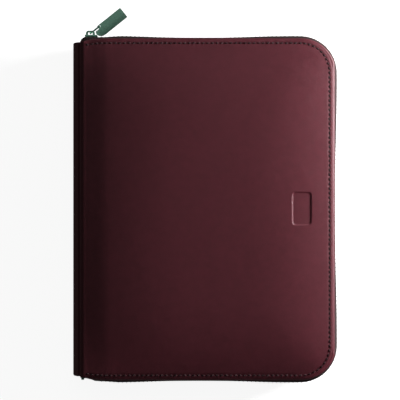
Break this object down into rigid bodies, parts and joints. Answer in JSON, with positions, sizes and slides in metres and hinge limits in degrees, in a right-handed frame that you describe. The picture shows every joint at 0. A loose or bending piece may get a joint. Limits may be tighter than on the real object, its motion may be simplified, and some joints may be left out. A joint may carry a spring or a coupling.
{
  "type": "zip-around leather organiser case",
  "caption": "Burgundy leather zip-around organiser case with padded covers, a ring mechanism on its spine, inner pockets, a pen loop and a metal zip pull.",
  "frame": {"origin": "centre of the flat rest face under the back cover, where the closed case lies on a table", "axes": "+X from the spine to the zip side, +Y to the top end of the spine, +Z out of the front cover"},
  "size_m": [0.183, 0.2601, 0.04],
  "materials": {
    "leather": "smooth calf with a soft sheen",
    "lining_fabric": "fine woven lining",
    "lining_leather": "thin split leather, matt",
    "board": "plain grey board",
    "foam": "soft open foam",
    "zip_tape": "woven tape",
    "zip_teeth": "moulded teeth",
    "gunmetal": "polished gunmetal plate",
    "nickel": "bright nickel plate"
  },
  "bodies": {
    "back_cover": {"back_leather": "leather", "back_padding": "foam", "back_board": "board", "back_lining": "lining_fabric", "zip_tape_back": "zip_tape", "zip_teeth_back": "zip_teeth", "zip_stop_back_top": "gunmetal", "zip_stop_back_bottom": "gunmetal", "pad_pocket": "lining_leather", "pen_loop": "lining_leather"},
    "spine": {"spine_leather": "leather", "spine_padding": "foam", "spine_board": "board", "spine_lining": "lining_fabric", "ring_base_plate": "nickel", "spine_rivet_top": "nickel", "spine_rivet_bottom": "nickel", "lever_pin_top": "nickel", "lever_pin_bottom": "nickel"},
    "front_cover": {"front_leather": "leather", "front_padding": "foam", "front_board": "board", "front_lining": "lining_fabric", "zip_tape_front": "zip_tape", "zip_teeth_front": "zip_teeth", "zip_stop_front_top": "gunmetal", "zip_stop_front_bottom": "gunmetal", "document_pocket": "lining_leather", "card_slot_1": "lining_leather", "card_slot_2": "lining_leather", "card_slot_3": "lining_leather"},
    "zip_slider": {"zip_slider": "gunmetal"},
    "zip_link": {"zip_link": "gunmetal"},
    "pull_tab": {"pull_tab": "gunmetal"},
    "ring_jaw_back": {"ring_blade_back": "nickel", "ring_half_back_1": "nickel", "ring_half_back_2": "nickel", "ring_half_back_3": "nickel", "ring_half_back_4": "nickel", "ring_half_back_5": "nickel", "ring_half_back_6": "nickel"},
    "ring_jaw_front": {"ring_blade_front": "nickel", "ring_half_front_1": "nickel", "ring_half_front_2": "nickel", "ring_half_front_3": "nickel", "ring_half_front_4": "nickel", "ring_half_front_5": "nickel", "ring_half_front_6": "nickel"},
    "ring_lever_top": {"ring_lever_top": "nickel"},
    "ring_lever_bottom": {"ring_lever_bottom": "nickel"}
  },
  "joints": [
    {"name": "spine_fold", "type": "hinge", "parent": "back_cover", "child": "spine", "pos_m": [-0.0874, 0, 0.005], "axis": [0, -1, 0], "range_deg": [0, 90]},
    {"name": "cover_fold", "type": "hinge", "parent": "spine", "child": "front_cover", "pos_m": [-0.0874, 0, 0.035], "axis": [0, -1, 0], "range_deg": [0, 90]},
    {"name": "zip_travel", "type": "slide", "parent": "back_cover", "child": "zip_slider", "axis": [1, 0, 0], "range_m": [0, 0.135]},
    {"name": "link_swing", "type": "hinge", "parent": "zip_slider", "child": "zip_link", "pos_m": [-0.08035, 0.1225, 0.02], "axis": [0, 0, 1], "range_deg": [0, 85]},
    {"name": "tab_swing", "type": "hinge", "parent": "zip_link", "child": "pull_tab", "pos_m": [-0.07391, 0.12742, 0.02], "axis": [0, 0, 1], "range_deg": [0, 30]},
    {"name": "ring_open", "type": "hinge", "parent": "spine", "child": "ring_jaw_back", "pos_m": [-0.0847, 0, 0.0141], "axis": [0, 1, 0], "range_deg": [0, 12]},
    {"name": "ring_open_front", "type": "hinge", "parent": "spine", "child": "ring_jaw_front", "pos_m": [-0.0847, 0, 0.0259], "axis": [0, -1, 0], "range_deg": [0, 12]},
    {"name": "lever_press_top", "type": "hinge", "parent": "spine", "child": "ring_lever_top", "pos_m": [-0.0834, 0.0995, 0.02], "axis": [0, 0, 1], "range_deg": [0, 18]},
    {"name": "lever_press_bottom", "type": "hinge", "parent": "spine", "child": "ring_lever_bottom", "pos_m": [-0.0834, -0.0995, 0.02], "axis": [0, 0, -1], "range_deg": [0, 18]}
  ],
  "couplings": [
    {"joint": "ring_open_front", "follows": "ring_open", "ratio": 1},
    {"joint": "lever_press_top", "follows": "ring_open", "ratio": 1.5},
    {"joint": "lever_press_bottom", "follows": "ring_open", "ratio": 1.5}
  ]
}
